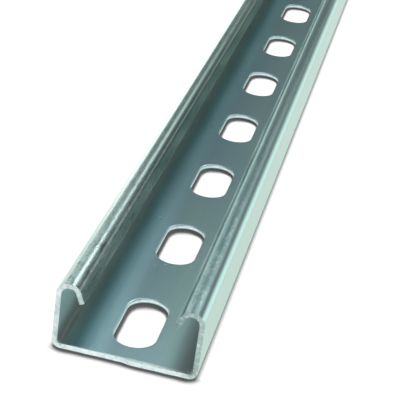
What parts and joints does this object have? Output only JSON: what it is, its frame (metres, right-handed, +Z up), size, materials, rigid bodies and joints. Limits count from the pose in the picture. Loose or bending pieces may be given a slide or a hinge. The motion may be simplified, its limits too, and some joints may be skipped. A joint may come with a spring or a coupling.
{
  "type": "slotted strut channel",
  "caption": "Roll-formed steel channel with a slotted web, two walls and two turned-in lips that hold sliding channel nuts.",
  "frame": {"origin": "middle of the web's underside, half way along the length", "axes": "+Y along the channel away from the near cut end, +Z up out of the open side, +X to the right wall"},
  "size_m": [0.0412, 0.6, 0.0206],
  "materials": {
    "zinc_plated_steel": "bright zinc plating, satin, with rolling lines along the length"
  },
  "bodies": {
    "root": {"strut_channel": "zinc_plated_steel"}
  },
  "joints": []
}
